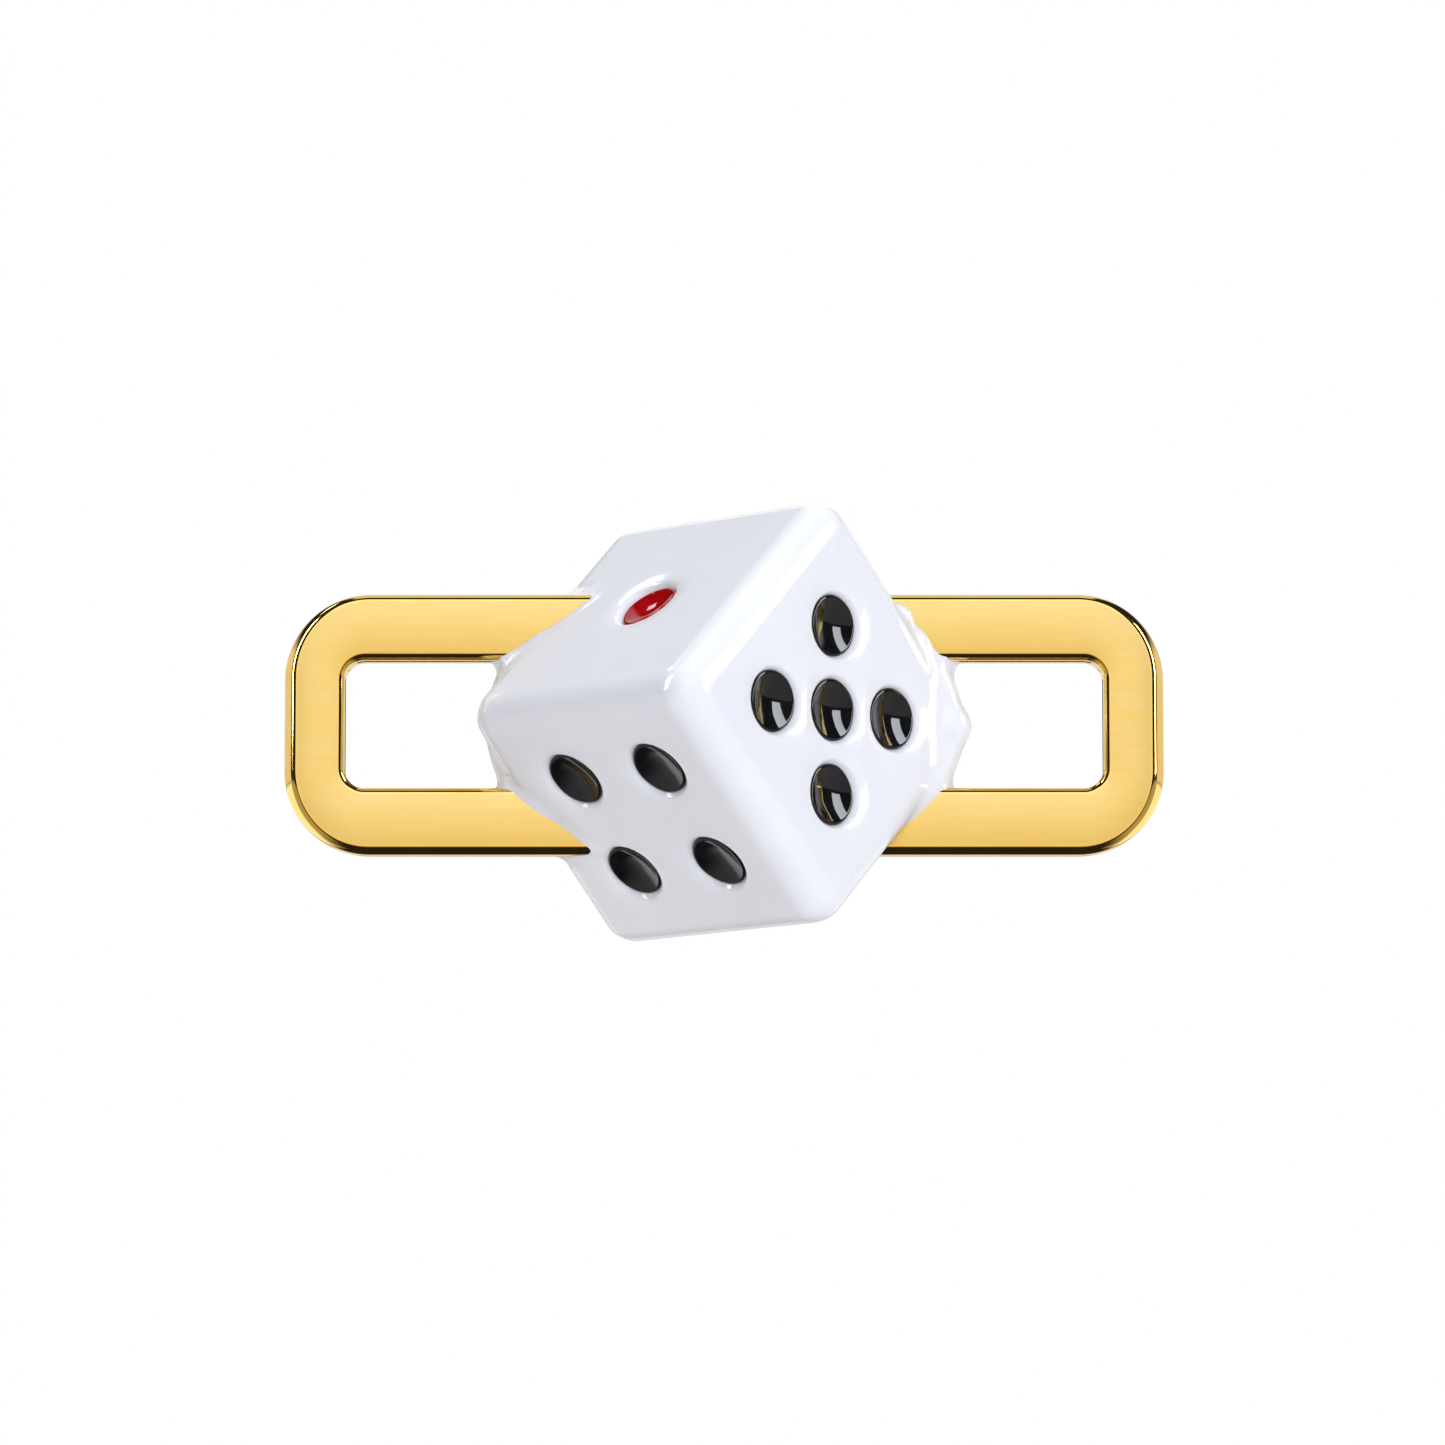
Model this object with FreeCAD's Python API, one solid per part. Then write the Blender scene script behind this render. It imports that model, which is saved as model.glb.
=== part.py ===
import FreeCAD, Part
import os
from math import sqrt

# A die-shaped lace charm: a white resin die cast round the two long bars of a flat slotted metal link.
# Millimetres. The origin is the centre of the die. The link stands in the XZ plane with its long side
# along X, +Z is up, and the front of the charm faces -Y.

LINK_LENGTH = 33.4
LINK_HEIGHT = 10.0
LINK_THICKNESS = 1.5
LINK_FRONT_Y = -0.3         # the link's front face stands just before the middle of the die
LINK_CORNER_RADIUS = 3.25
LINK_EDGE_ROUNDING = 0.35
END_BAR_WIDTH = 2.3
LONG_BAR_WIDTH = 2.55
SLOT_CORNER_RADIUS = 0.75
SLOT_EDGE_ROUNDING = 0.25

DIE_EDGE = 12.0
DIE_ROUNDING = 1.3
DIE_YAW = -45.0     # degrees about +Z: the five faces front right
DIE_ROLL = 134.3    # degrees about the five's own axis: the one faces up, the four faces down

PIP_SPACING = 2.25          # from the middle of a face to a row of pips
ENAMEL_RADIUS = 1.17
ENAMEL_EDGE_DEPTH = 0.30    # the edge of the enamel lies this far below the face
ENAMEL_DISH = 0.20          # and its middle this much lower than its edge
RECESS_MOUTH_RADIUS = 1.40
RECESS_DEPTH = 0.65

X_AXIS = FreeCAD.Vector(1, 0, 0)
Y_AXIS = FreeCAD.Vector(0, 1, 0)
Z_AXIS = FreeCAD.Vector(0, 0, 1)
CENTRE = FreeCAD.Vector(0, 0, 0)

# each face's name, its number of pips, and its normal and first row direction in the die's own frame
FACES = [
    ("one", 1, Y_AXIS, X_AXIS),
    ("two", 2, -X_AXIS, Y_AXIS),
    ("three", 3, -Z_AXIS, X_AXIS),
    ("four", 4, Z_AXIS, X_AXIS),
    ("five", 5, X_AXIS, Y_AXIS),
    ("six", 6, -Y_AXIS, X_AXIS),
]


def rounded_rectangle(length, height, radius):
    """A face in the XZ plane, centred on the origin, with round corners."""
    half_x, half_z = length / 2 - radius, height / 2 - radius
    slant = radius / sqrt(2)
    corners = [(1, 1), (-1, 1), (-1, -1), (1, -1)]
    arcs = []
    for sign_x, sign_z in corners:
        middle = FreeCAD.Vector(sign_x * half_x, 0, sign_z * half_z)
        side = middle + X_AXIS * sign_x * radius
        end = middle + Z_AXIS * sign_z * radius
        bend = middle + (X_AXIS * sign_x + Z_AXIS * sign_z) * slant
        # the arcs run anticlockwise, so every other one starts at its level end
        first, last = (side, end) if sign_x == sign_z else (end, side)
        arcs.append((first, bend, last))
    edges = []
    for (first, bend, last), (following, _, _) in zip(arcs, arcs[1:] + arcs[:1]):
        edges.append(Part.Arc(first, bend, last).toShape())
        edges.append(Part.makeLine(last, following))
    return Part.Face(Part.Wire(edges))


def lies_on_a_face(edge):
    """True for the edges of the link's flat front and back, and false for those through its thickness."""
    box = edge.BoundBox
    return box.YLength < LINK_THICKNESS / 2


def rounded_plate(length, height, corner_radius, edge_rounding):
    """A flat plate with its front at y = 0 and the edges of both faces rounded over."""
    plate = rounded_rectangle(length, height, corner_radius).extrude(Y_AXIS * LINK_THICKNESS)
    return plate.makeFillet(edge_rounding, [edge for edge in plate.Edges if lies_on_a_face(edge)])


def lace_link():
    """The metal link: a long ring with one slot, whose inner edges are eased as well."""
    slot_length = LINK_LENGTH - 2 * END_BAR_WIDTH
    slot_height = LINK_HEIGHT - 2 * LONG_BAR_WIDTH
    slot = rounded_rectangle(slot_length, slot_height, SLOT_CORNER_RADIUS)
    plate = rounded_plate(LINK_LENGTH, LINK_HEIGHT, LINK_CORNER_RADIUS, LINK_EDGE_ROUNDING)
    ring = plate.cut(slot.extrude(Y_AXIS * LINK_THICKNESS))
    inner_edges = [
        edge for edge in ring.Edges
        if lies_on_a_face(edge)
        and edge.BoundBox.XMax <= slot_length / 2 + SLOT_EDGE_ROUNDING
        and edge.BoundBox.XMin >= -slot_length / 2 - SLOT_EDGE_ROUNDING
        and edge.BoundBox.ZMax <= slot_height / 2 + SLOT_EDGE_ROUNDING
        and edge.BoundBox.ZMin >= -slot_height / 2 - SLOT_EDGE_ROUNDING
    ]
    ring = ring.makeFillet(SLOT_EDGE_ROUNDING, inner_edges)
    ring.translate(Y_AXIS * LINK_FRONT_Y)
    return ring


def rounded_cube():
    """The die before its pips, square to the axes."""
    half = DIE_EDGE / 2
    cube = Part.makeBox(DIE_EDGE, DIE_EDGE, DIE_EDGE, FreeCAD.Vector(-half, -half, -half))
    return cube.makeFillet(DIE_ROUNDING, cube.Edges)


def pip_recess():
    """What is cut away for one pip, with the face at z = 0: a bevelled mouth and a round pocket."""
    mouth = Part.makeCone(ENAMEL_RADIUS, RECESS_MOUTH_RADIUS, ENAMEL_EDGE_DEPTH,
                          FreeCAD.Vector(0, 0, -ENAMEL_EDGE_DEPTH))
    pocket = Part.makeCylinder(ENAMEL_RADIUS, RECESS_DEPTH - ENAMEL_EDGE_DEPTH,
                               FreeCAD.Vector(0, 0, -RECESS_DEPTH))
    return mouth.fuse(pocket).removeSplitter()


def pip_enamel():
    """The colour in one pocket, with the face at z = 0. Its top is dished like dried paint."""
    fill = Part.makeCylinder(ENAMEL_RADIUS, RECESS_DEPTH - ENAMEL_EDGE_DEPTH,
                             FreeCAD.Vector(0, 0, -RECESS_DEPTH))
    dish_radius = (ENAMEL_RADIUS ** 2 + ENAMEL_DISH ** 2) / (2 * ENAMEL_DISH)
    dish_height = dish_radius - ENAMEL_EDGE_DEPTH - ENAMEL_DISH
    return fill.cut(Part.makeSphere(dish_radius, FreeCAD.Vector(0, 0, dish_height)))


def pip_spots(count):
    """Where a face's pips lie, as multiples of the spacing along its first and second rows."""
    diagonal = [(-1, -1), (1, 1)]
    corners = diagonal + [(-1, 1), (1, -1)]
    spots = [(0, 0)] if count % 2 else []
    if count in (2, 3):
        spots += diagonal
    if count >= 4:
        spots += corners
    if count == 6:
        spots += [(0, -1), (0, 1)]
    return spots


def die_attitude():
    """How the die is turned: about its five's axis first, then about +Z."""
    turn = FreeCAD.Rotation(Z_AXIS, DIE_YAW).multiply(FreeCAD.Rotation(X_AXIS, DIE_ROLL))
    return FreeCAD.Placement(CENTRE, turn)


def pip_places():
    """Every pip's name and its placement, from its own frame to the charm's."""
    places = []
    for face, count, normal, row in FACES:
        column = normal.cross(row)
        turn = FreeCAD.Rotation(row, column, normal, "ZXY")
        for number, (along, across) in enumerate(pip_spots(count), 1):
            spot = normal * (DIE_EDGE / 2) + (row * along + column * across) * PIP_SPACING
            name = f"pip_{face}" if count == 1 else f"pip_{face}_{number}"
            places.append((name, die_attitude().multiply(FreeCAD.Placement(spot, turn))))
    return places


def placed(shape, placement):
    moved = shape.copy()
    moved.Placement = placement
    return moved


def build():
    link = lace_link()
    die = placed(rounded_cube(), die_attitude()).cut(link)
    recess, enamel = pip_recess(), pip_enamel()
    parts = {"lace_link": link}
    for name, place in pip_places():
        die = die.cut(placed(recess, place))
        # the link's bars come out beside some of the pips on the back, and stay bare there
        parts[name] = placed(enamel, place).cut(link)
    parts["die_body"] = die
    return parts


os.makedirs("parts", exist_ok=True)
for node, shape in build().items():
    shape.exportStep(f"parts/{node}.step")
    box = shape.BoundBox
    print(f"{node:12} solids {len(shape.Solids)} valid {shape.isValid()} volume {shape.Volume:9.3f} "
          f"x {box.XMin:7.2f} {box.XMax:7.2f} y {box.YMin:7.2f} {box.YMax:7.2f} "
          f"z {box.ZMin:7.2f} {box.ZMax:7.2f}")
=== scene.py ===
from math import cos, pi, radians, sin, tan

import bpy
import numpy as np
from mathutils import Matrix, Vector


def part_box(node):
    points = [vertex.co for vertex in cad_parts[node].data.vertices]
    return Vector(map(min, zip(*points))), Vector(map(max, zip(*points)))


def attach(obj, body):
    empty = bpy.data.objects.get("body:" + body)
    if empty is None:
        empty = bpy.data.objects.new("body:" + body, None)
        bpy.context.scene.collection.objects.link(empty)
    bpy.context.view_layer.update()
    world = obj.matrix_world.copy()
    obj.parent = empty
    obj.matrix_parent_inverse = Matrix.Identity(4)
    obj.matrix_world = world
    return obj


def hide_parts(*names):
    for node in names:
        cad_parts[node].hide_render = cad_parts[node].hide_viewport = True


# A resin die cast round a gold-plated lace link. Shapes are worked out in millimetres in the row frame
# (+X right, +Z up, the front faces -Y) and become metres when their meshes are made.

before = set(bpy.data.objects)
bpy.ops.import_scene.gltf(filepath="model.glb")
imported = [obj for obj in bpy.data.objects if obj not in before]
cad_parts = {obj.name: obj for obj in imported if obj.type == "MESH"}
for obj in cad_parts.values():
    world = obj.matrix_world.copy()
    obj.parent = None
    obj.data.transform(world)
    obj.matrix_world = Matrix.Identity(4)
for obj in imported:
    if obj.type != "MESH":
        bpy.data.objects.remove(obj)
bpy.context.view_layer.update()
MM = 0.001

DIE_HALF = 6.0
DIE_ROUNDING = 1.3
DIE_YAW, DIE_ROLL = -45.0, 134.3    # degrees, about +Z and about the five's own axis
SURFACE_SINK, SURFACE_WAVE = 0.015, 0.010   # how far inside flat the cast faces lie, and how far they wander

PIP_SPACING = 2.25                  # from the middle of a face to a row of pips
DIMPLE_RADIUS, DIMPLE_DEPTH = 2.05, 0.11        # a wide shallow dimple round each pip
DIMPLE_REACH = 1.6                  # how deep inside a face its dimples and pockets are still worked out
POCKET_RADIUS, POCKET_FLOOR_RADIUS, POCKET_DEPTH = 1.36, 0.90, 0.50
ENAMEL_RADIUS = 1.17
ENAMEL_CREST_DEPTH = 0.235          # the rolled edge of the enamel, below the face
ENAMEL_FLOOR_DEPTH = 0.47           # and the middle of its dish
ENAMEL_ROLL, ENAMEL_ROLL_DEPTH = 0.12, 0.14     # how wide and how deep that edge is
ENAMEL_UNDERSIDE_DEPTH = 0.72       # out of sight in the resin
ENAMEL_SEGMENTS = 72

OUTER_CORNER, SLOT_CORNER = 3.25, 0.75
END_BAR, LONG_BAR = 2.3, 2.55
EDGE_ROUNDING, SLOT_ROUNDING = 0.26, 0.26
SIDE_FLARE, END_FLARE = 0.10, 0.26  # how far the outer edges lean outwards from each face to mid thickness
FLARE_ANGLE = radians(62)           # the slope at which they start to
CROWN = 0.03                        # how far polishing has rounded the bars' faces at their edges
CORNER_STATIONS = 25

WETTING_REACH = 0.85                # size of the fillet of resin where it wets the bars
WEB_END, WEB_HOLLOW = 9.05, 0.11    # how far the resin fills the slot in its middle, and how fast that drops
WEB_ROUNDING = 0.5                  # how round its edges are
FILLET = 0.5                        # the size of the fillets where it and the runs meet the die

SKIN_STEP = 0.12                    # the mesh size of the resin skin
SKIN_INSET = 0.14                   # away from the die the skin runs this deep inside the gold,
SKIN_EDGE_ROUNDING = 0.33           # with edges this round,
STUB_END = 11.5                     # and ends there, this far from the middle
SKIN_HALF_SIZE = np.array([STUB_END + 0.3, 9.7, 8.4])

# where the resin has run a little further along the bars and in the slot: the middle and size of each run
RUNS = [
    ((6.65, -0.15, 4.00), 0.45),
    ((7.20, -0.10, 3.20), 0.36),
    ((-8.75, 0.20, 0.20), 0.60),
    ((8.78, 0.20, -0.05), 0.60),
]

link_low, link_high = (np.array(corner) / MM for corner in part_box("lace_link"))
LINK_HALF_LENGTH = (link_high[0] - link_low[0]) / 2
LINK_HALF_HEIGHT = (link_high[2] - link_low[2]) / 2
LINK_FRONT, LINK_BACK = link_low[1], link_high[1]
THICKNESS = LINK_BACK - LINK_FRONT
SLOT_HALF_LENGTH, SLOT_HALF_HEIGHT = LINK_HALF_LENGTH - END_BAR, LINK_HALF_HEIGHT - LONG_BAR


def turn(axis, degrees):
    """The matrix that turns a point about one of the axes, 0 for X, 1 for Y and 2 for Z."""
    c, s = cos(radians(degrees)), sin(radians(degrees))
    matrix = np.eye(3)
    first, second = (axis + 1) % 3, (axis + 2) % 3
    matrix[first, first], matrix[first, second] = c, -s
    matrix[second, first], matrix[second, second] = s, c
    return matrix


DIE_TURN = turn(2, DIE_YAW) @ turn(0, DIE_ROLL)     # its columns are the die's own axes

# each face's name, number of pips, and its axis, sign and first row's axis in the die's own frame
FACES = [
    ("one", 1, 1, 1, 0),
    ("two", 2, 0, -1, 1),
    ("three", 3, 2, -1, 0),
    ("four", 4, 2, 1, 0),
    ("five", 5, 0, 1, 1),
    ("six", 6, 1, -1, 0),
]


def pip_spots(count):
    """Where a face's pips lie, as multiples of the spacing along its first and second rows."""
    diagonal = [(-1, -1), (1, 1)]
    spots = [(0, 0)] if count % 2 else []
    if count in (2, 3):
        spots += diagonal
    if count >= 4:
        spots += diagonal + [(-1, 1), (1, -1)]
    if count == 6:
        spots += [(0, -1), (0, 1)]
    return spots


def face_axes(axis, sign, row_axis):
    """A face's first row, second row and outward normal, in the die's own frame."""
    normal, row = np.zeros(3), np.zeros(3)
    normal[axis], row[row_axis] = sign, 1.0
    return row, np.cross(normal, row), normal


def smooth(t):
    """0 below 0, 1 above 1, and an even S between."""
    t = np.clip(t, 0.0, 1.0)
    return t * t * (3.0 - 2.0 * t)


def ripples(seed, wavelength, count=7):
    """A smooth random field of points, from about -1 to 1, with bumps about half a wavelength wide."""
    random = np.random.default_rng(seed)
    waves = random.normal(size=(count, 3))
    lengths = np.linalg.norm(waves, axis=1)[:, None]
    waves *= (2 * pi / wavelength) * random.uniform(0.7, 1.3, (count, 1)) / lengths
    phases = random.uniform(0, 2 * pi, count)
    return lambda points: np.sin(points @ waves.T + phases).sum(axis=1) / (0.6 * count)


FACE_WAVES = ripples(seed=3, wavelength=6.0)
WETTING_WAVES = ripples(seed=11, wavelength=2.6)


# --- the resin skin -------------------------------------------------------------------------------

def dimple_depth(own):
    """How far the pips' soft dimples sink the faces, at points in the die's own frame."""
    depth = np.zeros(len(own))
    for _, count, axis, sign, row_axis in FACES:
        row, column, normal = face_axes(axis, sign, row_axis)
        near = np.flatnonzero(own @ normal > DIE_HALF - DIMPLE_REACH)
        along, across = own[near] @ row, own[near] @ column
        nearest = np.full(len(near), np.inf)
        for u, v in pip_spots(count):
            nearest = np.minimum(nearest, np.hypot(along - u * PIP_SPACING, across - v * PIP_SPACING))
        soft = np.clip((DIMPLE_RADIUS - nearest) / (DIMPLE_RADIUS - ENAMEL_RADIUS), 0, 1)
        pocket = smooth((POCKET_RADIUS - nearest) / (POCKET_RADIUS - POCKET_FLOOR_RADIUS))
        depth[near] = np.maximum(depth[near], DIMPLE_DEPTH * soft * soft + POCKET_DEPTH * pocket)
    return depth


def die_distance(points):
    """Distance to the cast die: a rounded cube with dimples, and with faces that sink unevenly."""
    own = points @ DIE_TURN
    beyond = np.abs(own) - (DIE_HALF - DIE_ROUNDING)
    cube = np.linalg.norm(np.maximum(beyond, 0), axis=1) + np.minimum(beyond.max(axis=1), 0) - DIE_ROUNDING
    return cube + dimple_depth(own) + SURFACE_SINK + SURFACE_WAVE * FACE_WAVES(points)


def rounded_box_distance(first, second, half_first, half_second, radius):
    """Distance to a rectangle with round corners, in its own plane."""
    a, b = np.abs(first) - half_first + radius, np.abs(second) - half_second + radius
    return np.hypot(np.maximum(a, 0), np.maximum(b, 0)) + np.minimum(np.maximum(a, b), 0) - radius


def plate_distance(outline, y, rounding):
    """Distance to a plate between the link's two faces, given the distance to its outline."""
    side = outline + rounding
    face = np.abs(y - (LINK_FRONT + LINK_BACK) / 2) - THICKNESS / 2 + rounding
    beyond = np.hypot(np.maximum(side, 0), np.maximum(face, 0))
    return beyond + np.minimum(np.maximum(side, face), 0) - rounding


def link_distance(points):
    """Distance to the metal link, as the skin inside it sees it."""
    x, y, z = points.T
    outline = rounded_box_distance(x, z, LINK_HALF_LENGTH, LINK_HALF_HEIGHT, OUTER_CORNER)
    slot = rounded_box_distance(x, z, SLOT_HALF_LENGTH, SLOT_HALF_HEIGHT, SLOT_CORNER)
    return plate_distance(np.maximum(outline, -slot), y, SKIN_EDGE_ROUNDING)


def web_distance(points):
    """Distance to the web of resin that fills the slot beside the die."""
    x, y, z = points.T
    outline = np.maximum(np.abs(x) - WEB_END + WEB_HOLLOW * z * z, np.abs(z) - SLOT_HALF_HEIGHT)
    return plate_distance(outline, y, WEB_ROUNDING)


def merge(first, second, reach):
    """Joins two solids with a fillet of about this reach."""
    overlap = np.maximum(reach - np.abs(first - second), 0) / reach
    return np.minimum(first, second) - overlap * overlap * reach / 4


def skin_distance(points):
    """The resin: the die and what ran along the bars, with a skin inside them that ends out of sight."""
    x, y, z = points.T
    resin = merge(die_distance(points), web_distance(points), FILLET)
    for middle, size in RUNS:
        resin = merge(resin, np.linalg.norm(points - np.array(middle), axis=1) - size, FILLET)
    stub = np.maximum(link_distance(points) + SKIN_INSET, np.abs(x) - STUB_END)
    # the wetting is narrower towards the link's long edges, and wider towards the back
    width = 0.8 - 0.35 * smooth((np.abs(z) - 2.6) / 1.4) + 0.6 * smooth(y / 0.8)
    return merge(resin, stub, WETTING_REACH * width * (1.0 + 0.25 * WETTING_WAVES(points)))


def surface_net(field, low, high, step):
    """Vertices and quads of the field's zero surface, one vertex in each grid cell that it crosses."""
    lines = [np.arange(start, end + step, step) for start, end in zip(low, high)]
    across = np.stack(np.meshgrid(lines[1], lines[2], indexing="ij"), axis=-1).reshape(-1, 2)
    slabs = [field(np.column_stack([np.full(len(across), x), across])) for x in lines[0]]
    values = np.array(slabs).reshape([len(line) for line in lines])
    inside = values < 0

    corners = [(i, j, k) for i in (0, 1) for j in (0, 1) for k in (0, 1)]
    cells = tuple(n - 1 for n in values.shape)

    def window(array, at):
        """The array's values at one corner of every cell."""
        return array[at[0]:at[0] + cells[0], at[1]:at[1] + cells[1], at[2]:at[2] + cells[2]]

    filled = sum(window(inside, at).astype(np.int8) for at in corners)
    crossed = (filled > 0) & (filled < 8)
    index = np.full(cells, -1)
    index[crossed] = np.arange(crossed.sum())
    cell = np.argwhere(crossed)

    total, number = np.zeros((len(cell), 3)), np.zeros(len(cell))
    for start in corners:
        for axis in range(3):
            if start[axis] == 1:
                continue
            end = tuple(c + (n == axis) for n, c in enumerate(start))
            a, b = window(values, start)[crossed], window(values, end)[crossed]
            cut = (a < 0) != (b < 0)
            share = np.where(cut, a / np.where(cut, a - b, 1), 0)
            point = cell + np.array(start, float)
            point[:, axis] += share
            total[cut] += point[cut]
            number += cut
    vertices = np.array(low) + step * total / number[:, None]

    quads = []
    for axis in range(3):
        one, two = (axis + 1) % 3, (axis + 2) % 3
        ahead = np.moveaxis(inside, axis, 0)
        change = np.argwhere(np.moveaxis(ahead[1:] != ahead[:-1], 0, axis))
        change = change[(change[:, one] > 0) & (change[:, two] > 0)]
        change = change[(change[:, one] < cells[one]) & (change[:, two] < cells[two])]
        ring = []
        for back_one, back_two in ((1, 1), (0, 1), (0, 0), (1, 0)):
            at = change.copy()
            at[:, one] -= back_one
            at[:, two] -= back_two
            ring.append(index[at[:, 0], at[:, 1], at[:, 2]])
        ring = np.stack(ring, axis=1)
        leaving = inside[change[:, 0], change[:, 1], change[:, 2]]
        quads.append(np.where(leaving[:, None], ring, ring[:, ::-1]))
    return vertices, np.concatenate(quads)


def slope(field, points, step=0.01):
    """The field's gradient at each point."""
    parts = []
    for axis in range(3):
        shift = np.zeros(3)
        shift[axis] = step
        parts.append((field(points + shift) - field(points - shift)) / (2 * step))
    return np.stack(parts, axis=1)


def settle(field, vertices, quads, rounds=3):
    """Evens out the vertices along the surface, and puts each one exactly on it."""
    start, end = quads.ravel(), np.roll(quads, -1, axis=1).ravel()
    neighbours = np.bincount(start, minlength=len(vertices))
    for round_number in range(rounds + 1):
        if round_number < rounds:
            totals = [np.bincount(start, vertices[end, axis], len(vertices)) for axis in range(3)]
            vertices = 0.5 * vertices + 0.5 * np.stack(totals, axis=1) / neighbours[:, None]
        for _ in range(2):
            gradient = slope(field, vertices)
            length = np.maximum((gradient ** 2).sum(axis=1), 0.05)
            vertices = vertices - (field(vertices) / length)[:, None] * gradient
    return vertices


def new_piece(name, vertices, faces, materials, replaced, normals=None):
    """A mesh piece, from points in millimetres, riding on the root and standing for a CAD node."""
    mesh = bpy.data.meshes.new(name)
    mesh.from_pydata((np.asarray(vertices) * MM).tolist(), [], faces)
    mesh.shade_smooth()
    for material in materials:
        mesh.materials.append(material)
    if normals is not None:
        mesh.normals_split_custom_set_from_vertices(normals.tolist())
    piece = bpy.data.objects.new(name, mesh)
    bpy.context.scene.collection.objects.link(piece)
    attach(piece, "root")
    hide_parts(replaced)
    return piece


def make_resin_skin(material):
    """The die and the resin on the bars, as one mesh with the exact normals of its surface."""
    low, high = -SKIN_HALF_SIZE, SKIN_HALF_SIZE
    vertices, quads = surface_net(skin_distance, low, high, SKIN_STEP)
    vertices = settle(skin_distance, vertices, quads)
    normals = slope(skin_distance, vertices)
    normals /= np.linalg.norm(normals, axis=1)[:, None]
    new_piece("resin_die", vertices, quads.tolist(), [material], "die_body", normals)


# --- the enamel pips ------------------------------------------------------------------------------

def enamel_profile():
    """Radius and depth from the middle of the dish to the rolled edge, and back under to the axis."""
    crest = ENAMEL_RADIUS - ENAMEL_ROLL
    hidden = 0.02       # the enamel's side stands this far inside the resin
    dish = [(crest * t, ENAMEL_FLOOR_DEPTH - (ENAMEL_FLOOR_DEPTH - ENAMEL_CREST_DEPTH) * t * t)
            for t in np.linspace(0, 0.97, 16)]
    roll = [(crest + (ENAMEL_RADIUS + hidden - crest) * sin(a),
             ENAMEL_CREST_DEPTH + ENAMEL_ROLL_DEPTH * (1 - cos(a)))
            for a in np.linspace(0.0, pi / 2, 8)]
    under = [(ENAMEL_RADIUS * t, ENAMEL_UNDERSIDE_DEPTH) for t in (0.9, 0.5, 0)]
    return dish + roll + under


def revolve(profile, segments):
    """Rings of points about the axis, and the faces between them. The profile's two ends lie on the axis."""
    angles = np.linspace(0, 2 * pi, segments, endpoint=False)
    points = [(r * cos(a), r * sin(a), -depth) for r, depth in profile[1:-1] for a in angles]
    top, bottom = len(points), len(points) + 1
    points += [(0, 0, -profile[0][1]), (0, 0, -profile[-1][1])]
    last = bottom - 1 - segments
    faces = []
    for n in range(segments):
        following = (n + 1) % segments
        faces.append((top, n, following))
        faces.append((bottom, last + following, last + n))
        for start in range(0, last, segments):
            faces.append((start + following, start + n, start + n + segments, start + following + segments))
    return np.array(points), faces


def make_pips(black, red):
    """One dished drop of enamel for every pip, no two quite alike."""
    random = np.random.default_rng(21)
    shape, faces = revolve(enamel_profile(), ENAMEL_SEGMENTS)
    for name, count, axis, sign, row_axis in FACES:
        row, column, normal = face_axes(axis, sign, row_axis)
        own_axes = np.stack([row, column, normal], axis=1)
        for number, (u, v) in enumerate(pip_spots(count), 1):
            node = f"pip_{name}" if count == 1 else f"pip_{name}_{number}"
            angle = np.arctan2(shape[:, 1], shape[:, 0])
            wobble = 1 + sum(random.uniform(0.002, 0.009) * np.sin(k * angle + random.uniform(0, 2 * pi))
                             for k in (2, 3, 5))
            points = shape * np.stack([wobble, wobble, np.ones(len(shape))], axis=1)
            lean = random.uniform(-0.03, 0.03, 2)
            points[:, 2] = points[:, 2] * random.uniform(0.95, 1.08) + points[:, :2] @ lean
            middle = normal * DIE_HALF + (row * u + column * v) * PIP_SPACING
            points = (points @ own_axes.T + middle) @ DIE_TURN.T
            material, slot = (red, "red_enamel") if name == "one" else (black, "black_enamel")
            new_piece(f"enamel_{node}", points, faces, [material], node)


# --- the metal link -------------------------------------------------------------------------------

def corner_stations(quadrant, steps):
    """Matching points on the slot and the outline round one corner, and how much of an end each is."""
    sign_x, sign_z = ((1, 1), (-1, 1), (-1, -1), (1, -1))[quadrant]
    outer = np.array([sign_x * (LINK_HALF_LENGTH - OUTER_CORNER), sign_z * (LINK_HALF_HEIGHT - OUTER_CORNER)])
    inner = np.array([sign_x * (SLOT_HALF_LENGTH - SLOT_CORNER), sign_z * (SLOT_HALF_HEIGHT - SLOT_CORNER)])
    stations = []
    for angle in np.linspace(quadrant, quadrant + 1, steps) * pi / 2:
        outward = np.array([cos(angle), sin(angle)])
        stations.append((inner + SLOT_CORNER * outward, outer + OUTER_CORNER * outward, outward[0] ** 2))
    return stations


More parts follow.
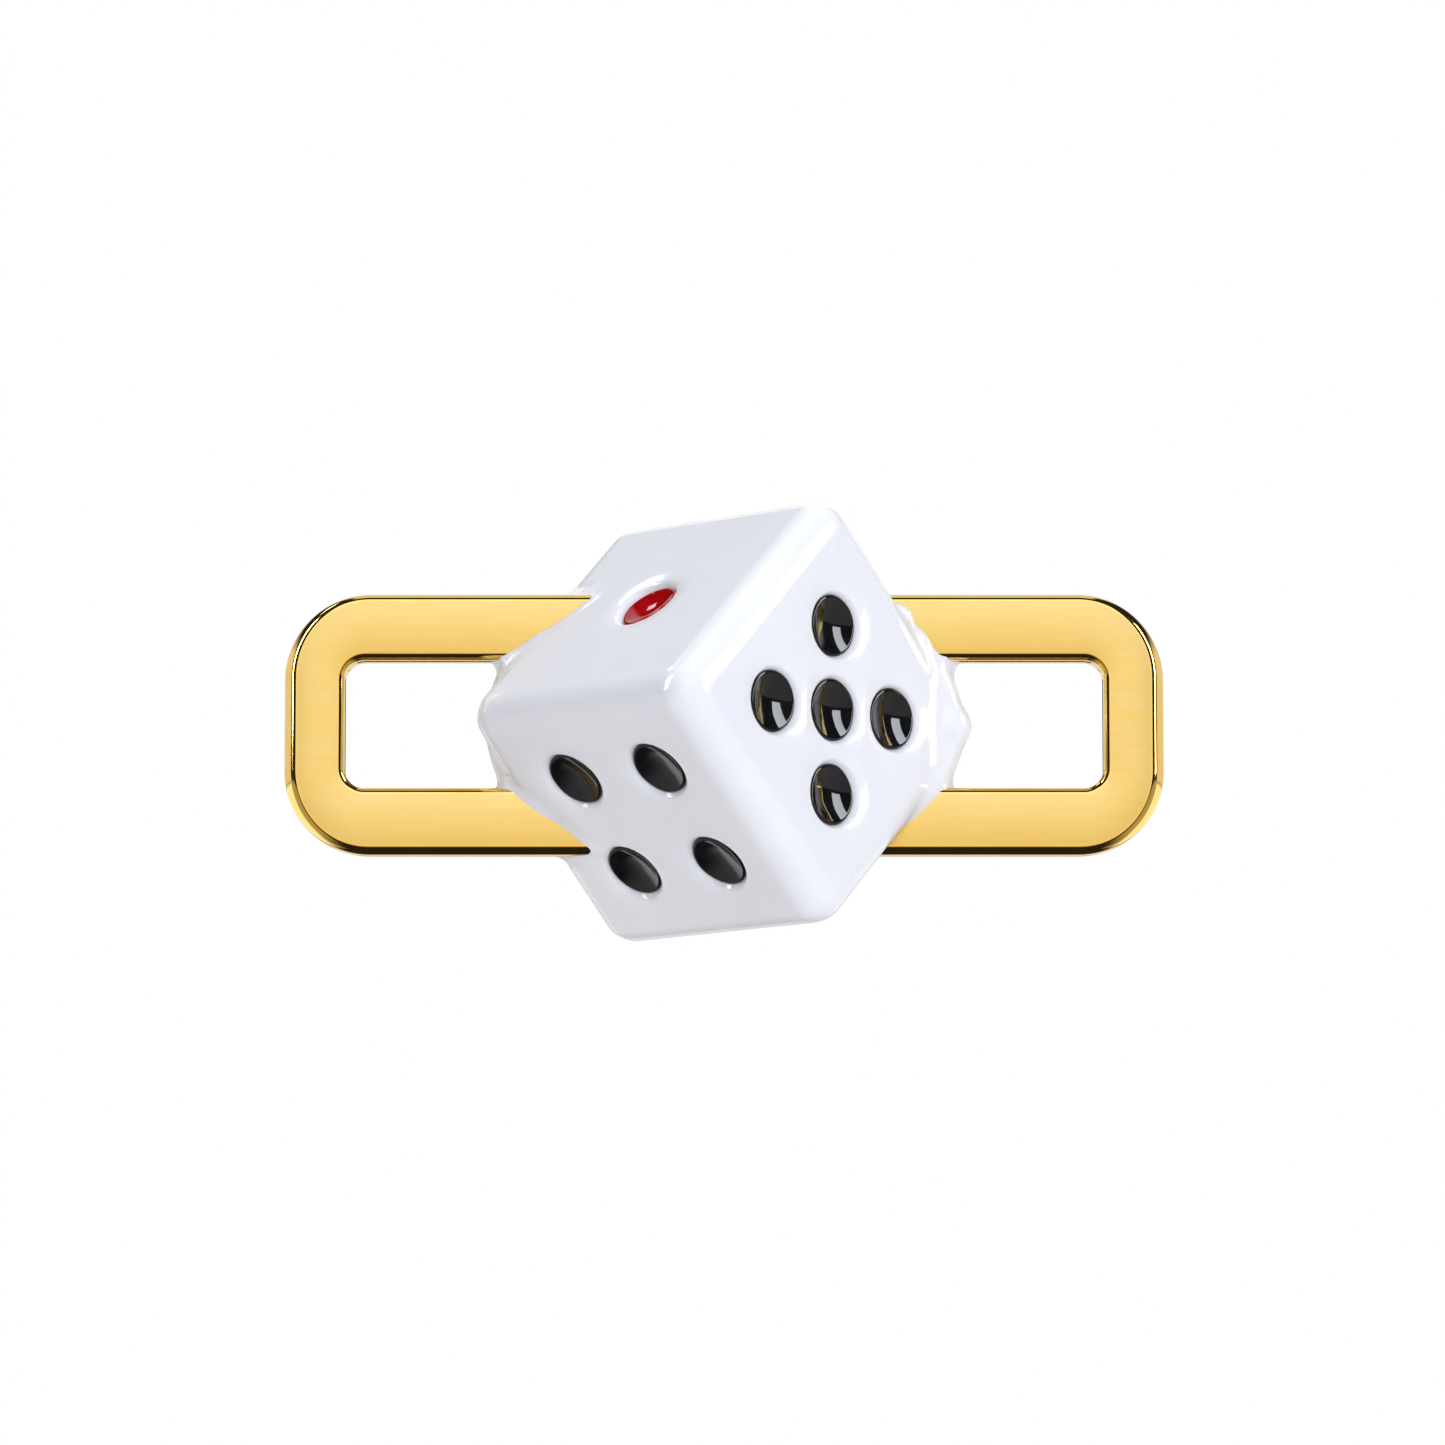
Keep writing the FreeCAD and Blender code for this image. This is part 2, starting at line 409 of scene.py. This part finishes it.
def bar_section(width, flare):
    """A bar's outline, as distance from the slot and depth behind the front face, and which runs are flat."""
    shoulder = width - flare - EDGE_ROUNDING * sin(FLARE_ANGLE)
    span = shoulder - SLOT_ROUNDING
    shares = np.linspace(0, 1, 12, endpoint=False)
    face = [(SLOT_ROUNDING + span * t, CROWN * (2 * t - 1) ** 2) for t in shares]
    outer = [(shoulder + EDGE_ROUNDING * sin(a), CROWN + EDGE_ROUNDING * (1 - cos(a)))
             for a in FLARE_ANGLE * shares]
    start = CROWN + EDGE_ROUNDING * (1 - cos(FLARE_ANGLE))
    bend = start + flare * tan(FLARE_ANGLE)
    flank = [(width - flare * (1 - t) ** 2,
              start * (1 - t) ** 2 + 2 * bend * t * (1 - t) + THICKNESS / 2 * t * t)
             for t in shares]
    ease = [(SLOT_ROUNDING * (1 - cos(a)), CROWN + SLOT_ROUNDING * (1 - sin(a)))
            for a in np.linspace(0, pi / 2, 10, endpoint=False)]
    front = [(point, True) for point in face] + [(point, False) for point in outer + flank]
    back = [((distance, THICKNESS - depth), is_flat) for (distance, depth), is_flat in front[::-1]]
    back_ease = [((distance, THICKNESS - depth), False) for distance, depth in ease[::-1]]
    middle = [((width, THICKNESS / 2), False)]
    section = front + middle + back + back_ease + [(point, False) for point in ease]
    return [point for point, _ in section], [is_flat for _, is_flat in section]


def make_link(brushed, polished):
    """The ring of the link, swept round its slot, with brushed faces and polished edges."""
    stations = [s for quadrant in range(4) for s in corner_stations(quadrant, CORNER_STATIONS)]
    vertices = []
    for inner, outer, endness in stations:
        flare = SIDE_FLARE + (END_FLARE - SIDE_FLARE) * endness
        across = outer - inner
        width = np.linalg.norm(across)
        section, flat = bar_section(width, flare)
        for distance, depth in section:
            x, z = inner + across * (distance / width)
            vertices.append((x, LINK_FRONT + depth, z))
    size, count = len(flat), len(stations)
    faces, kinds = [], []
    for n in range(count):
        here, following = n * size, (n + 1) % count * size
        for k in range(size):
            after = (k + 1) % size
            faces.append((here + k, following + k, following + after, here + after))
            kinds.append(0 if flat[k] else 1)
    piece = new_piece("gold_link", vertices, faces, [brushed, polished], "lace_link")
    piece.data.polygons.foreach_set("material_index", kinds)


# --- materials ------------------------------------------------------------------------------------

def new_material(name, **values):
    """A Principled material with constant values on its own sockets, and its node tree's parts."""
    material = bpy.data.materials.new(name)
    material.use_nodes = True
    tree = material.node_tree
    shader = tree.nodes["Principled BSDF"]
    for socket, value in values.items():
        shader.inputs[socket.replace("_", " ")].default_value = value
    return material, tree, shader


def stretched_noise(tree, scale, stretch=(1, 1, 1), detail=2.0):
    """Noise in the object's own space. A small stretch value draws it out along that axis."""
    place = tree.nodes.new("ShaderNodeTexCoord")
    mapping = tree.nodes.new("ShaderNodeMapping")
    mapping.inputs["Scale"].default_value = stretch
    noise = tree.nodes.new("ShaderNodeTexNoise")
    noise.inputs["Scale"].default_value = scale
    noise.inputs["Detail"].default_value = detail
    tree.links.new(place.outputs["Object"], mapping.inputs["Vector"])
    tree.links.new(mapping.outputs["Vector"], noise.inputs["Vector"])
    return noise.outputs["Fac"]


def ramp(tree, value, low, high, at=(0.35, 0.65), middle=None):
    """A colour between two ends, by a value, through one in the middle if it is given."""
    node = tree.nodes.new("ShaderNodeValToRGB")
    node.color_ramp.elements[0].position, node.color_ramp.elements[1].position = at
    node.color_ramp.elements[0].color, node.color_ramp.elements[1].color = (*low, 1), (*high, 1)
    if middle:
        node.color_ramp.elements.new(sum(at) / 2).color = (*middle, 1)
    tree.links.new(value, node.inputs["Fac"])
    return node.outputs["Color"]


def spread(tree, value, low, high):
    """A number between two ends, by a value."""
    node = tree.nodes.new("ShaderNodeMapRange")
    node.inputs["To Min"].default_value, node.inputs["To Max"].default_value = low, high
    tree.links.new(value, node.inputs["Value"])
    return node.outputs["Result"]


def bump(tree, value, depth, shader):
    """Raises the surface by a value, to a depth in metres."""
    node = tree.nodes.new("ShaderNodeBump")
    node.inputs["Strength"].default_value = 1.0
    node.inputs["Distance"].default_value = depth
    tree.links.new(value, node.inputs["Height"])
    tree.links.new(node.outputs["Normal"], shader.inputs["Normal"])


def resin_material():
    """Glossy white resin with a faint blue cast, a little cloudy, and smooth but not flawless."""
    material, tree, shader = new_material(
        "white_resin", Roughness=0.10, IOR=1.5, Subsurface_Weight=0.35, Subsurface_Radius=(1.0, 0.95, 0.9),
        Subsurface_Scale=0.0006)
    clouds = stretched_noise(tree, 180.0, detail=3.0)
    colour = ramp(tree, clouds, (0.818, 0.836, 0.910), (0.842, 0.858, 0.930))
    tree.links.new(colour, shader.inputs["Base Color"])
    bump(tree, stretched_noise(tree, 900.0, detail=1.0), 0.0000012, shader)
    return material


def enamel_material(name, dark, light):
    """Glossy enamel, slightly mottled between two colours."""
    material, tree, shader = new_material(name, Roughness=0.05, IOR=1.55)
    mottle = stretched_noise(tree, 1500.0, detail=3.0)
    tree.links.new(ramp(tree, mottle, dark, light), shader.inputs["Base Color"])
    tree.links.new(spread(tree, mottle, 0.03, 0.08), shader.inputs["Roughness"])
    bump(tree, stretched_noise(tree, 2500.0, detail=2.0), 0.0000015, shader)
    return material


GOLD_DARK, GOLD_LIGHT = (0.97, 0.68, 0.19), (1.0, 0.72, 0.23)
EDGE_GOLD_DARK, EDGE_GOLD_LIGHT = (0.98, 0.62, 0.14), (1.0, 0.67, 0.18)


def brushed_gold():
    """The link's faces, with fine hairlines along its length."""
    material, tree, shader = new_material("brushed_gold", Metallic=1.0, Roughness=0.3)
    hairlines = stretched_noise(tree, 30000.0, stretch=(0.012, 1, 1), detail=3.0)
    streaks = stretched_noise(tree, 6000.0, stretch=(0.06, 1, 1), detail=2.0)
    tree.links.new(ramp(tree, streaks, GOLD_DARK, GOLD_LIGHT), shader.inputs["Base Color"])
    tree.links.new(spread(tree, streaks, 0.25, 0.31), shader.inputs["Roughness"])
    bump(tree, hairlines, 0.0000012, shader)
    return material


def polished_gold():
    """The link's edges, which reflect in a deeper tone."""
    material, tree, shader = new_material("polished_gold", Metallic=1.0, Roughness=0.12)
    patches = stretched_noise(tree, 900.0, detail=2.0)
    tree.links.new(ramp(tree, patches, EDGE_GOLD_DARK, EDGE_GOLD_LIGHT), shader.inputs["Base Color"])
    tree.links.new(spread(tree, patches, 0.05, 0.10), shader.inputs["Roughness"])
    return material


# --- the studio -----------------------------------------------------------------------------------

# distances in the studio are in metres, and angles in degrees
CAMERA_DISTANCE = 0.300
CAMERA_ELEVATION = -7.5             # the camera looks slightly up at the charm
FRAME_WIDTH = 0.05484               # what the picture spans at the charm
AIM = Vector((-0.00006, 0, 0.00006))
SENSOR = 36.0
LIGHT_DISTANCE, SHINE_DISTANCE = 0.60, 0.57     # the shine stands nearer, so no other light hides it
FLOOR_LEVEL, FLOOR_HALF = -0.060, 3.0

# how bright the parts of the studio look in reflections, where 1 is white
DIM_STUDIO, WALL_BEHIND, SWEEP_BELOW, FRONT_CARD = 0.02, 0.80, 0.40, 1.05
EVEN_LIGHT = 0.41       # matt surfaces get this from all round instead


def direction(azimuth, elevation):
    """A unit vector. Azimuth 0 is the front, and 90 is +X."""
    a, e = radians(azimuth), radians(elevation)
    return Vector((sin(a) * cos(e), -cos(a) * cos(e), sin(e)))


def add_camera():
    """The camera, at a real distance, so that the die's perspective comes out right."""
    data = bpy.data.cameras.new("camera")
    data.sensor_width = SENSOR
    data.lens = SENSOR * CAMERA_DISTANCE / FRAME_WIDTH
    camera = bpy.data.objects.new("camera", data)
    bpy.context.scene.collection.objects.link(camera)
    camera.location = AIM + CAMERA_DISTANCE * direction(0, CAMERA_ELEVATION)
    camera.rotation_euler = (AIM - camera.location).to_track_quat("-Z", "Y").to_euler()
    bpy.context.scene.camera = camera


def add_softbox(name, azimuth, elevation, width, height, lighting=0.0, shine=0.0, colour=(1, 1, 1)):
    """A rectangular light that faces the charm. Its width and height are angles, in degrees.

    Its lighting is what matt surfaces get from it, and its shine is how bright it looks in glossy ones."""
    parts = (("lighting", lighting, LIGHT_DISTANCE), ("shine", shine, SHINE_DISTANCE))
    for part, radiance, distance in parts:
        if not radiance:
            continue
        data = bpy.data.lights.new(f"{name}_{part}", "AREA")
        data.shape = "RECTANGLE"
        data.size = 2 * distance * tan(radians(width / 2))
        data.size_y = 2 * distance * tan(radians(height / 2))
        data.energy = radiance * 4 * data.size * data.size_y    # as bright at any size
        data.color = colour
        light = bpy.data.objects.new(f"{name}_{part}", data)
        bpy.context.scene.collection.objects.link(light)
        light.location = distance * direction(azimuth, elevation)
        light.rotation_euler = light.location.to_track_quat("Z", "Y").to_euler()
        light.visible_camera = False
        light.visible_diffuse = part == "lighting"
        light.visible_glossy = part == "shine"


def add_floor(level, half):
    """A plain floor well below the charm, which glows a little so that it is pale right to its far edge.

    Reflections see the studio's surroundings instead of it."""
    mesh = bpy.data.meshes.new("floor")
    mesh.from_pydata([(-half, -half, level), (half, -half, level), (half, half, level), (-half, half, level)],
                     [], [(0, 1, 2, 3)])
    material, _, _ = new_material("floor", Roughness=0.9, Base_Color=(0.42, 0.41, 0.40, 1),
                                  Emission_Color=(0.97, 0.96, 0.94, 1), Emission_Strength=0.3)
    mesh.materials.append(material)
    floor = bpy.data.objects.new("floor", mesh)
    bpy.context.scene.collection.objects.link(floor)
    floor.visible_glossy = False


def math_node(tree, operation, *values):
    """One Math node, on sockets or plain numbers."""
    node = tree.nodes.new("ShaderNodeMath")
    node.operation = operation
    for socket, value in zip(node.inputs, values):
        if isinstance(value, (int, float)):
            socket.default_value = value
        else:
            tree.links.new(value, socket)
    return node.outputs[0]


def combine(tree, operation, first, *others):
    """One value from several, by the same operation on two at a time."""
    together = first
    for value in others:
        together = math_node(tree, operation, together, value)
    return together


def edge(tree, value, start, end):
    """A soft step from 0 to 1 as a value goes from start to end."""
    node = tree.nodes.new("ShaderNodeMapRange")
    node.interpolation_type = "SMOOTHSTEP"
    node.inputs["From Min"].default_value, node.inputs["From Max"].default_value = start, end
    tree.links.new(value, node.inputs["Value"])
    return node.outputs["Result"]


def patch(tree, *edges):
    """A soft-edged patch of the surroundings. Each edge is a value, where it starts and where it is full."""
    return combine(tree, "MULTIPLY", *[edge(tree, value, start, full) for value, start, full in edges])


def without(tree, mask, hole):
    """A mask with another one cut out of it."""
    return combine(tree, "MULTIPLY", mask, math_node(tree, "SUBTRACT", 1.0, hole))


def area_behind(tree, side, y, z):
    """The pale wall behind and above the charm, its foot and skirts below, and the dark slits in it."""
    wall = patch(tree, (y, 0.25, 0.45), (z, 0.45, 0.30), (z, -0.02, 0.04))
    ridge = patch(tree, (side, 0.26, 0.18), (y, -0.35, -0.20), (z, 0.20, 0.30))
    foot = patch(tree, (side, 0.35, 0.25), (y, 0.25, 0.45), (z, 0.04, -0.02), (z, -0.46, -0.40))
    skirts = patch(tree, (side, 0.30, 0.40), (y, 0.42, 0.58), (z, 0.04, -0.02), (z, -0.65, -0.50))
    height = math_node(tree, "ABSOLUTE", z)
    slits = patch(tree, (side, 0.085, 0.07), (y, 0.25, 0.45), (height, 0.118, 0.128), (height, 0.19, 0.17))
    return without(tree, combine(tree, "MAXIMUM", wall, ridge, foot, skirts), slits)


def sweep_below(tree, side, y, z):
    """The paler ground on both sides and behind, except just below the middle."""
    outside = combine(tree, "MAXIMUM", edge(tree, side, 0.35, 0.6), edge(tree, y, -0.1, 0.1))
    ground = combine(tree, "MULTIPLY", patch(tree, (z, 0.01, -0.01), (z, -0.97, -0.60)), outside)
    return without(tree, ground, patch(tree, (side, 0.40, 0.30), (y, 0.0, 0.2)))


def front_card(tree, side, y, z):
    """The white card in front of the charm, brighter towards its top."""
    card = patch(tree, (y, -0.55, -0.75), (side, 0.34, 0.24), (z, -0.42, 0.05), (z, 0.72, 0.55))
    rise = math_node(tree, "MULTIPLY_ADD", edge(tree, z, 0.10, 0.45), 0.35, 1.0)
    return combine(tree, "MULTIPLY", card, rise)


def card_tint(tree, y, z, glossy):
    """Reflections of the front card are warmer low down and cooler high up."""
    slant = math_node(tree, "SUBTRACT", edge(tree, z, 0.13, 0.0), edge(tree, z, 0.12, 0.28))
    lean = combine(tree, "MULTIPLY", slant, edge(tree, y, -0.5, -0.75), glossy)
    tint = math_node(tree, "MULTIPLY_ADD", lean, 0.5, 0.5)
    return ramp(tree, tint, (0.97, 1.02, 1.45), (1.0, 0.88, 0.62), at=(0.0, 1.0), middle=(1.0, 1.0, 1.0))


def add_surroundings():
    """White to look at, an even pale light on matt surfaces, and a studio of cards for reflections."""
    world = bpy.data.worlds.new("surroundings")
    bpy.context.scene.world = world
    world.use_nodes = True
    tree = world.node_tree
    place = tree.nodes.new("ShaderNodeTexCoord")
    split = tree.nodes.new("ShaderNodeSeparateXYZ")
    tree.links.new(place.outputs["Generated"], split.inputs[0])
    x, y, z = split.outputs
    side = math_node(tree, "ABSOLUTE", x)
    path = tree.nodes.new("ShaderNodeLightPath").outputs

    level = DIM_STUDIO
    for area, strength in ((area_behind, WALL_BEHIND), (sweep_below, SWEEP_BELOW), (front_card, FRONT_CARD)):
        level = math_node(tree, "ADD", level, math_node(tree, "MULTIPLY", area(tree, side, y, z), strength))
    glossy = math_node(tree, "MULTIPLY", level, path["Is Glossy Ray"])
    matt = math_node(tree, "MULTIPLY", path["Is Diffuse Ray"], EVEN_LIGHT)
    background = tree.nodes["Background"]
    tree.links.new(combine(tree, "ADD", glossy, matt, path["Is Camera Ray"]), background.inputs["Strength"])
    tree.links.new(card_tint(tree, y, z, path["Is Glossy Ray"]), background.inputs["Color"])
    world.cycles.sampling_method = "NONE"


black = enamel_material("black_enamel", (0.004, 0.004, 0.005), (0.008, 0.008, 0.010))
red = enamel_material("red_enamel", (0.30, 0.001, 0.002), (0.42, 0.002, 0.004))
make_resin_skin(resin_material())
make_pips(black, red)
make_link(brushed_gold(), polished_gold())

add_camera()
add_floor(FLOOR_LEVEL, FLOOR_HALF)
add_surroundings()
add_softbox("key", 34, 0, 30, 30, lighting=4.8, colour=(0.97, 0.99, 1.05))
add_softbox("front", 0, 5, 40, 40, lighting=1.2)
add_softbox("top", 180, 85, 40, 40, lighting=3.4)
add_softbox("back", 180, 25, 40, 40, lighting=2.3)
add_softbox("right_strip", 71, 23, 18, 38, shine=6.5, colour=(0.93, 0.98, 1.08))
add_softbox("left_strip", -74, 27, 16, 40, shine=7.0)
add_softbox("left_window", -128, 52, 10, 10, shine=4.5)
bpy.context.scene.view_settings.view_transform = "Standard"
